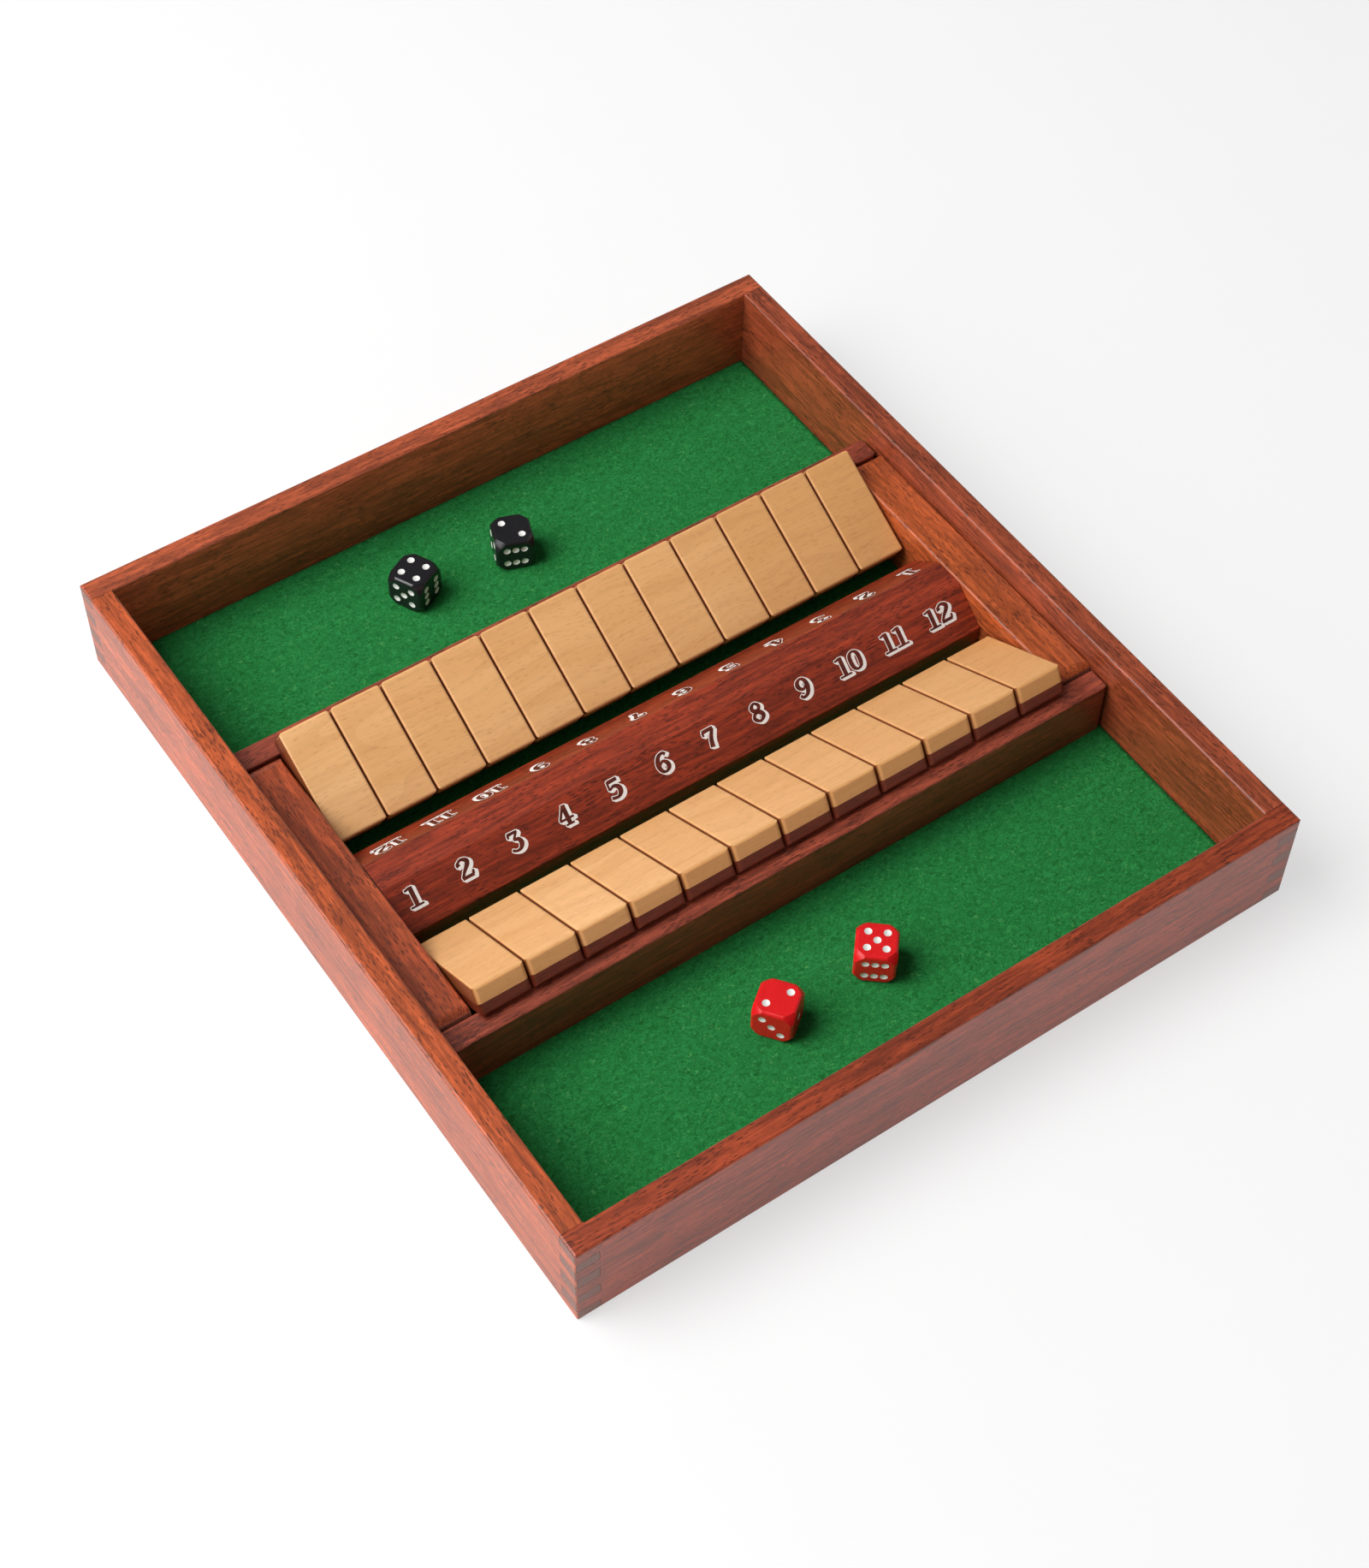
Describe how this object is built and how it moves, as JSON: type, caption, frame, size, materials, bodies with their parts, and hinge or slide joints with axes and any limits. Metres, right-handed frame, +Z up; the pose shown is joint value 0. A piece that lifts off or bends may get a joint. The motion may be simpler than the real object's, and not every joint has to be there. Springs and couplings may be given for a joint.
{
  "type": "shut the box game",
  "caption": "Open wooden game tray with a raised number bar between rows of flip tiles on hinge rods, felt-lined trays and loose dice.",
  "frame": {"origin": "bottom centre of the box, on the surface it stands on", "axes": "+X along the rows of tiles with the front player's low numbers on the left, +Y from the front player to the back player, +Z up"},
  "size_m": [0.317, 0.35, 0.045],
  "materials": {
    "rail_wood": "satin lacquered reddish-brown hardwood",
    "ledge_wood": "satin lacquered reddish-brown hardwood",
    "bar_wood": "satin lacquered reddish-brown hardwood with white-outlined numbers",
    "tile_wood": "satin lacquered pale wood, lower half stained reddish brown",
    "panel_wood": "plain plywood",
    "green_felt": "matt green felt",
    "rod_steel": "plain drawn steel",
    "black_plastic": "glossy black with white pips",
    "red_plastic": "glossy red with white pips"
  },
  "bodies": {
    "box": {"front_rail": "rail_wood", "back_rail": "rail_wood", "left_rail": "rail_wood", "right_rail": "rail_wood", "base_panel": "panel_wood", "felt_lining": "green_felt", "front_ledge": "ledge_wood", "back_ledge": "ledge_wood", "left_end_block": "ledge_wood", "right_end_block": "ledge_wood", "number_bar": "bar_wood", "front_rod": "rod_steel", "back_rod": "rod_steel"},
    "front_tile_1": {"front_tile_1": "tile_wood"},
    "front_tile_2": {"front_tile_2": "tile_wood"},
    "front_tile_3": {"front_tile_3": "tile_wood"},
    "front_tile_4": {"front_tile_4": "tile_wood"},
    "front_tile_5": {"front_tile_5": "tile_wood"},
    "front_tile_6": {"front_tile_6": "tile_wood"},
    "front_tile_7": {"front_tile_7": "tile_wood"},
    "front_tile_8": {"front_tile_8": "tile_wood"},
    "front_tile_9": {"front_tile_9": "tile_wood"},
    "front_tile_10": {"front_tile_10": "tile_wood"},
    "front_tile_11": {"front_tile_11": "tile_wood"},
    "front_tile_12": {"front_tile_12": "tile_wood"},
    "back_tile_1": {"back_tile_1": "tile_wood"},
    "back_tile_2": {"back_tile_2": "tile_wood"},
    "back_tile_3": {"back_tile_3": "tile_wood"},
    "back_tile_4": {"back_tile_4": "tile_wood"},
    "back_tile_5": {"back_tile_5": "tile_wood"},
    "back_tile_6": {"back_tile_6": "tile_wood"},
    "back_tile_7": {"back_tile_7": "tile_wood"},
    "back_tile_8": {"back_tile_8": "tile_wood"},
    "back_tile_9": {"back_tile_9": "tile_wood"},
    "back_tile_10": {"back_tile_10": "tile_wood"},
    "back_tile_11": {"back_tile_11": "tile_wood"},
    "back_tile_12": {"back_tile_12": "tile_wood"},
    "black_die_1": {"black_die_1": "black_plastic"},
    "black_die_2": {"black_die_2": "black_plastic"},
    "red_die_1": {"red_die_1": "red_plastic"},
    "red_die_2": {"red_die_2": "red_plastic"}
  },
  "joints": [
    {"name": "front_tile_1_hinge", "type": "hinge", "parent": "box", "child": "front_tile_1", "pos_m": [0, -0.03618, 0.0186], "axis": [-1, 0, 0], "range_deg": [0, 111]},
    {"name": "front_tile_2_hinge", "type": "hinge", "parent": "box", "child": "front_tile_2", "pos_m": [0, -0.03618, 0.0186], "axis": [-1, 0, 0], "range_deg": [0, 111]},
    {"name": "front_tile_3_hinge", "type": "hinge", "parent": "box", "child": "front_tile_3", "pos_m": [0, -0.03618, 0.0186], "axis": [-1, 0, 0], "range_deg": [0, 111]},
    {"name": "front_tile_4_hinge", "type": "hinge", "parent": "box", "child": "front_tile_4", "pos_m": [0, -0.03618, 0.0186], "axis": [-1, 0, 0], "range_deg": [0, 111]},
    {"name": "front_tile_5_hinge", "type": "hinge", "parent": "box", "child": "front_tile_5", "pos_m": [0, -0.03618, 0.0186], "axis": [-1, 0, 0], "range_deg": [0, 111]},
    {"name": "front_tile_6_hinge", "type": "hinge", "parent": "box", "child": "front_tile_6", "pos_m": [0, -0.03618, 0.0186], "axis": [-1, 0, 0], "range_deg": [0, 111]},
    {"name": "front_tile_7_hinge", "type": "hinge", "parent": "box", "child": "front_tile_7", "pos_m": [0, -0.03618, 0.0186], "axis": [-1, 0, 0], "range_deg": [0, 111]},
    {"name": "front_tile_8_hinge", "type": "hinge", "parent": "box", "child": "front_tile_8", "pos_m": [0, -0.03618, 0.0186], "axis": [-1, 0, 0], "range_deg": [0, 111]},
    {"name": "front_tile_9_hinge", "type": "hinge", "parent": "box", "child": "front_tile_9", "pos_m": [0, -0.03618, 0.0186], "axis": [-1, 0, 0], "range_deg": [0, 111]},
    {"name": "front_tile_10_hinge", "type": "hinge", "parent": "box", "child": "front_tile_10", "pos_m": [0, -0.03618, 0.0186], "axis": [-1, 0, 0], "range_deg": [0, 111]},
    {"name": "front_tile_11_hinge", "type": "hinge", "parent": "box", "child": "front_tile_11", "pos_m": [0, -0.03618, 0.0186], "axis": [-1, 0, 0], "range_deg": [0, 111]},
    {"name": "front_tile_12_hinge", "type": "hinge", "parent": "box", "child": "front_tile_12", "pos_m": [0, -0.03618, 0.0186], "axis": [-1, 0, 0], "range_deg": [0, 111]},
    {"name": "back_tile_1_hinge", "type": "hinge", "parent": "box", "child": "back_tile_1", "pos_m": [0, 0.03618, 0.0186], "axis": [1, 0, 0], "range_deg": [0, 111]},
    {"name": "back_tile_2_hinge", "type": "hinge", "parent": "box", "child": "back_tile_2", "pos_m": [0, 0.03618, 0.0186], "axis": [1, 0, 0], "range_deg": [0, 111]},
    {"name": "back_tile_3_hinge", "type": "hinge", "parent": "box", "child": "back_tile_3", "pos_m": [0, 0.03618, 0.0186], "axis": [1, 0, 0], "range_deg": [0, 111]},
    {"name": "back_tile_4_hinge", "type": "hinge", "parent": "box", "child": "back_tile_4", "pos_m": [0, 0.03618, 0.0186], "axis": [1, 0, 0], "range_deg": [0, 111]},
    {"name": "back_tile_5_hinge", "type": "hinge", "parent": "box", "child": "back_tile_5", "pos_m": [0, 0.03618, 0.0186], "axis": [1, 0, 0], "range_deg": [0, 111]},
    {"name": "back_tile_6_hinge", "type": "hinge", "parent": "box", "child": "back_tile_6", "pos_m": [0, 0.03618, 0.0186], "axis": [1, 0, 0], "range_deg": [0, 111]},
    {"name": "back_tile_7_hinge", "type": "hinge", "parent": "box", "child": "back_tile_7", "pos_m": [0, 0.03618, 0.0186], "axis": [1, 0, 0], "range_deg": [0, 111]},
    {"name": "back_tile_8_hinge", "type": "hinge", "parent": "box", "child": "back_tile_8", "pos_m": [0, 0.03618, 0.0186], "axis": [1, 0, 0], "range_deg": [0, 111]},
    {"name": "back_tile_9_hinge", "type": "hinge", "parent": "box", "child": "back_tile_9", "pos_m": [0, 0.03618, 0.0186], "axis": [1, 0, 0], "range_deg": [0, 111]},
    {"name": "back_tile_10_hinge", "type": "hinge", "parent": "box", "child": "back_tile_10", "pos_m": [0, 0.03618, 0.0186], "axis": [1, 0, 0], "range_deg": [0, 111]},
    {"name": "back_tile_11_hinge", "type": "hinge", "parent": "box", "child": "back_tile_11", "pos_m": [0, 0.03618, 0.0186], "axis": [1, 0, 0], "range_deg": [0, 111]},
    {"name": "back_tile_12_hinge", "type": "hinge", "parent": "box", "child": "back_tile_12", "pos_m": [0, 0.03618, 0.0186], "axis": [1, 0, 0], "range_deg": [0, 111]},
    {"name": "black_die_1_lift", "type": "slide", "parent": "box", "child": "black_die_1", "axis": [0, 0, 1], "range_m": [0, 0.06]},
    {"name": "black_die_2_lift", "type": "slide", "parent": "box", "child": "black_die_2", "axis": [0, 0, 1], "range_m": [0, 0.06]},
    {"name": "red_die_1_lift", "type": "slide", "parent": "box", "child": "red_die_1", "axis": [0, 0, 1], "range_m": [0, 0.06]},
    {"name": "red_die_2_lift", "type": "slide", "parent": "box", "child": "red_die_2", "axis": [0, 0, 1], "range_m": [0, 0.06]}
  ]
}
